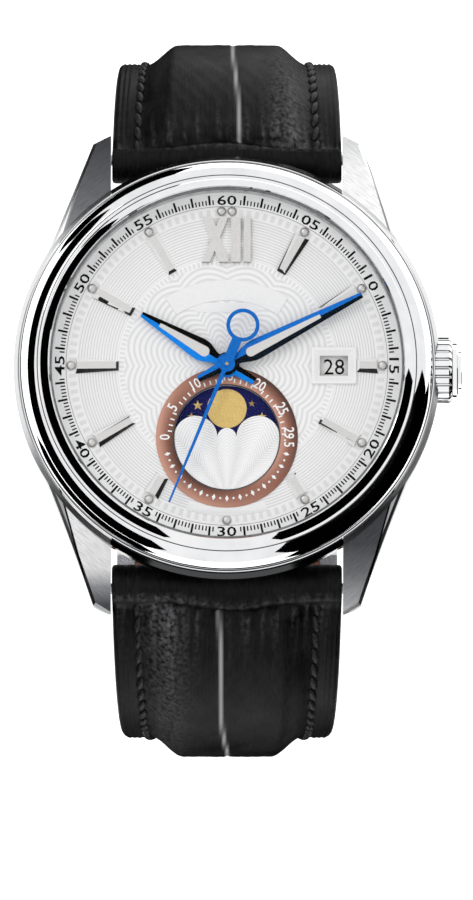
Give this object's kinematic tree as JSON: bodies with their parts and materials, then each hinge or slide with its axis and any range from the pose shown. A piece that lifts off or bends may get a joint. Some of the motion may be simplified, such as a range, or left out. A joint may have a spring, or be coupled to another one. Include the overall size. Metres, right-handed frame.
{
  "type": "moon phase watch",
  "caption": "Round steel wrist watch, buckled: moon phase aperture, date window, leaf-slot hands, fluted crown, padded leather strap with pin buckle.",
  "frame": {"origin": "centre of the case back's crystal, on its outer face, on the axis of the hands", "axes": "+Z along the hands' axis from the back to the dial side, +Y to 12 o'clock, +X to 3 o'clock and the crown"},
  "size_m": [0.0425, 0.0681, 0.0612],
  "materials": {
    "polished_steel": "polished",
    "satin_steel": "satin",
    "movement_steel": "satin",
    "crystal": "clear",
    "gasket_rubber": "matte",
    "silver_dial": "satin",
    "copper_ring": "satin",
    "navy_disc": "gloss",
    "white_disc": "matte",
    "blued_steel": "polished",
    "lume": "matte",
    "rhodium_brass": "satin",
    "brass": "satin",
    "ruby": "polished",
    "black_leather": "semi gloss",
    "lining_leather": "matte"
  },
  "bodies": {
    "case": {"mid_case": "polished_steel", "bezel": "polished_steel", "rehaut_ring": "satin_steel", "front_crystal": "crystal", "gaskets": "gasket_rubber", "case_back": "polished_steel", "back_crystal": "crystal", "casing_ring": "movement_steel", "crown_tube": "satin_steel", "dial": "silver_dial", "hour_markers": "satin_steel", "hour_dots": "satin_steel", "moon_ring": "copper_ring", "date_frame": "satin_steel", "main_plate": "rhodium_brass", "barrel_bridge": "rhodium_brass", "train_bridge": "rhodium_brass", "balance_cock": "rhodium_brass", "pallet_cock": "rhodium_brass", "bridge_screws": "movement_steel", "jewels": "ruby", "hairspring": "movement_steel", "rotor_bearing": "movement_steel", "spring_bars": "satin_steel", "strap_12_leather": "black_leather", "strap_12_lining": "lining_leather", "strap_6_leather": "black_leather", "strap_6_lining": "lining_leather", "buckle_frame": "polished_steel", "buckle_bar": "satin_steel", "fixed_keeper": "black_leather"},
    "fourth": {"fourth_wheel": "brass", "seconds_hand": "blued_steel"},
    "third": {"third_wheel": "brass"},
    "centre": {"centre_wheel": "brass"},
    "barrel": {"barrel": "brass", "mainspring": "movement_steel"},
    "escape": {"escape_wheel": "movement_steel"},
    "pallet": {"pallet_fork": "movement_steel"},
    "balance": {"balance_wheel": "brass"},
    "minute": {"cannon_pinion": "movement_steel", "minute_hand": "blued_steel", "minute_hand_insert": "lume"},
    "minute_idler": {"minute_wheel": "brass"},
    "hour": {"hour_wheel": "brass", "hour_hand": "blued_steel", "hour_hand_insert": "lume"},
    "date": {"date_disc": "white_disc"},
    "moon": {"moon_disc": "navy_disc"},
    "rotor": {"rotor": "rhodium_brass"},
    "clutch": {"sliding_clutch": "movement_steel"},
    "crown_stem": {"crown": "polished_steel", "winding_stem": "movement_steel"},
    "stem_pinion": {"winding_pinion": "movement_steel"},
    "crown_wheel": {"crown_wheel": "movement_steel"},
    "ratchet": {"ratchet_wheel": "movement_steel"},
    "bar_tip_12": {"spring_bar_tip_12": "satin_steel"},
    "bar_tip_6": {"spring_bar_tip_6": "satin_steel"},
    "free_keeper": {"free_keeper": "black_leather"},
    "tang": {"buckle_tang": "polished_steel"}
  },
  "joints": [
    {"name": "seconds_turn", "type": "hinge", "parent": "case", "child": "fourth", "pos_m": [0, 0, 0.0026], "axis": [0, 0, 1], "continuous": true},
    {"name": "third_turn", "type": "hinge", "parent": "case", "child": "third", "pos_m": [-0.0018, -0.00312, 0.003], "axis": [0, 0, 1], "continuous": true},
    {"name": "centre_turn", "type": "hinge", "parent": "case", "child": "centre", "pos_m": [0, 0, 0.0038], "axis": [0, 0, 1], "continuous": true},
    {"name": "barrel_turn", "type": "hinge", "parent": "case", "child": "barrel", "pos_m": [0.00288, 0.00499, 0.003], "axis": [0, 0, 1], "continuous": true},
    {"name": "escape_turn", "type": "hinge", "parent": "case", "child": "escape", "pos_m": [-0.00341, 0, 0.003], "axis": [0, 0, 1], "continuous": true},
    {"name": "pallet_swing", "type": "hinge", "parent": "case", "child": "pallet", "pos_m": [-0.00532, -0.001, 0.0034], "axis": [0, 0, 1], "range_deg": [-5, 5]},
    {"name": "balance_swing", "type": "hinge", "parent": "case", "child": "balance", "pos_m": [-0.00695, -0.00186, 0.0027], "axis": [0, 0, 1], "range_deg": [-270, 270], "stiffness_Nm_per_rad": 0.00000022},
    {"name": "minute_turn", "type": "hinge", "parent": "case", "child": "minute", "pos_m": [0, 0, 0.006], "axis": [0, 0, 1], "continuous": true},
    {"name": "minute_idler_turn", "type": "hinge", "parent": "case", "child": "minute_idler", "pos_m": [0.0017, 0.0017, 0.0056], "axis": [0, 0, 1], "continuous": true},
    {"name": "hour_turn", "type": "hinge", "parent": "case", "child": "hour", "pos_m": [0, 0, 0.006], "axis": [0, 0, 1], "continuous": true},
    {"name": "date_turn", "type": "hinge", "parent": "case", "child": "date", "pos_m": [0, 0, 0.006], "axis": [0, 0, 1], "continuous": true},
    {"name": "moon_turn", "type": "hinge", "parent": "case", "child": "moon", "pos_m": [0, -0.00684, 0.0063], "axis": [0, 0, 1], "continuous": true},
    {"name": "rotor_turn", "type": "hinge", "parent": "case", "child": "rotor", "pos_m": [0, 0, 0.0012], "axis": [0, 0, 1], "continuous": true},
    {"name": "crown_turn", "type": "hinge", "parent": "case", "child": "clutch", "pos_m": [0.009, 0, 0.0033], "axis": [1, 0, 0], "continuous": true},
    {"name": "crown_pull", "type": "slide", "parent": "clutch", "child": "crown_stem", "axis": [1, 0, 0], "range_m": [0, 0.0012]},
    {"name": "stem_pinion_turn", "type": "hinge", "parent": "case", "child": "stem_pinion", "pos_m": [0.00816, 0, 0.0033], "axis": [1, 0, 0], "continuous": true},
    {"name": "crown_wheel_turn", "type": "hinge", "parent": "case", "child": "crown_wheel", "pos_m": [0.00576, 0, 0.002], "axis": [0, 0, 1], "continuous": true},
    {"name": "ratchet_turn", "type": "hinge", "parent": "case", "child": "ratchet", "pos_m": [0.00288, 0.00499, 0.002], "axis": [0, 0, 1], "continuous": true},
    {"name": "bar_tip_12_press", "type": "slide", "parent": "case", "child": "bar_tip_12", "axis": [-1, 0, 0], "range_m": [0, 0.001], "stiffness_N_per_m": 1500, "springref_m": -0.0003},
    {"name": "bar_tip_6_press", "type": "slide", "parent": "case", "child": "bar_tip_6", "axis": [-1, 0, 0], "range_m": [0, 0.001], "stiffness_N_per_m": 1500, "springref_m": -0.0003},
    {"name": "free_keeper_slide", "type": "slide", "parent": "case", "child": "free_keeper", "axis": [0, 1, 0], "range_m": [0, 0.008]},
    {"name": "tang_swing", "type": "hinge", "parent": "case", "child": "tang", "pos_m": [0, -0.0023, -0.0465], "axis": [1, 0, 0], "range_deg": [0, 15]}
  ],
  "couplings": [
    {"joint": "third_turn", "follows": "seconds_turn", "ratio": -0.13333},
    {"joint": "centre_turn", "follows": "seconds_turn", "ratio": 0.016667},
    {"joint": "barrel_turn", "follows": "seconds_turn", "ratio": -0.002381},
    {"joint": "escape_turn", "follows": "seconds_turn", "ratio": -12},
    {"joint": "minute_idler_turn", "follows": "minute_turn", "ratio": -0.33333},
    {"joint": "hour_turn", "follows": "minute_turn", "ratio": 0.083333},
    {"joint": "stem_pinion_turn", "follows": "crown_turn", "ratio": 1},
    {"joint": "crown_wheel_turn", "follows": "crown_turn", "ratio": 0.5},
    {"joint": "ratchet_turn", "follows": "crown_turn", "ratio": -0.35714}
  ]
}
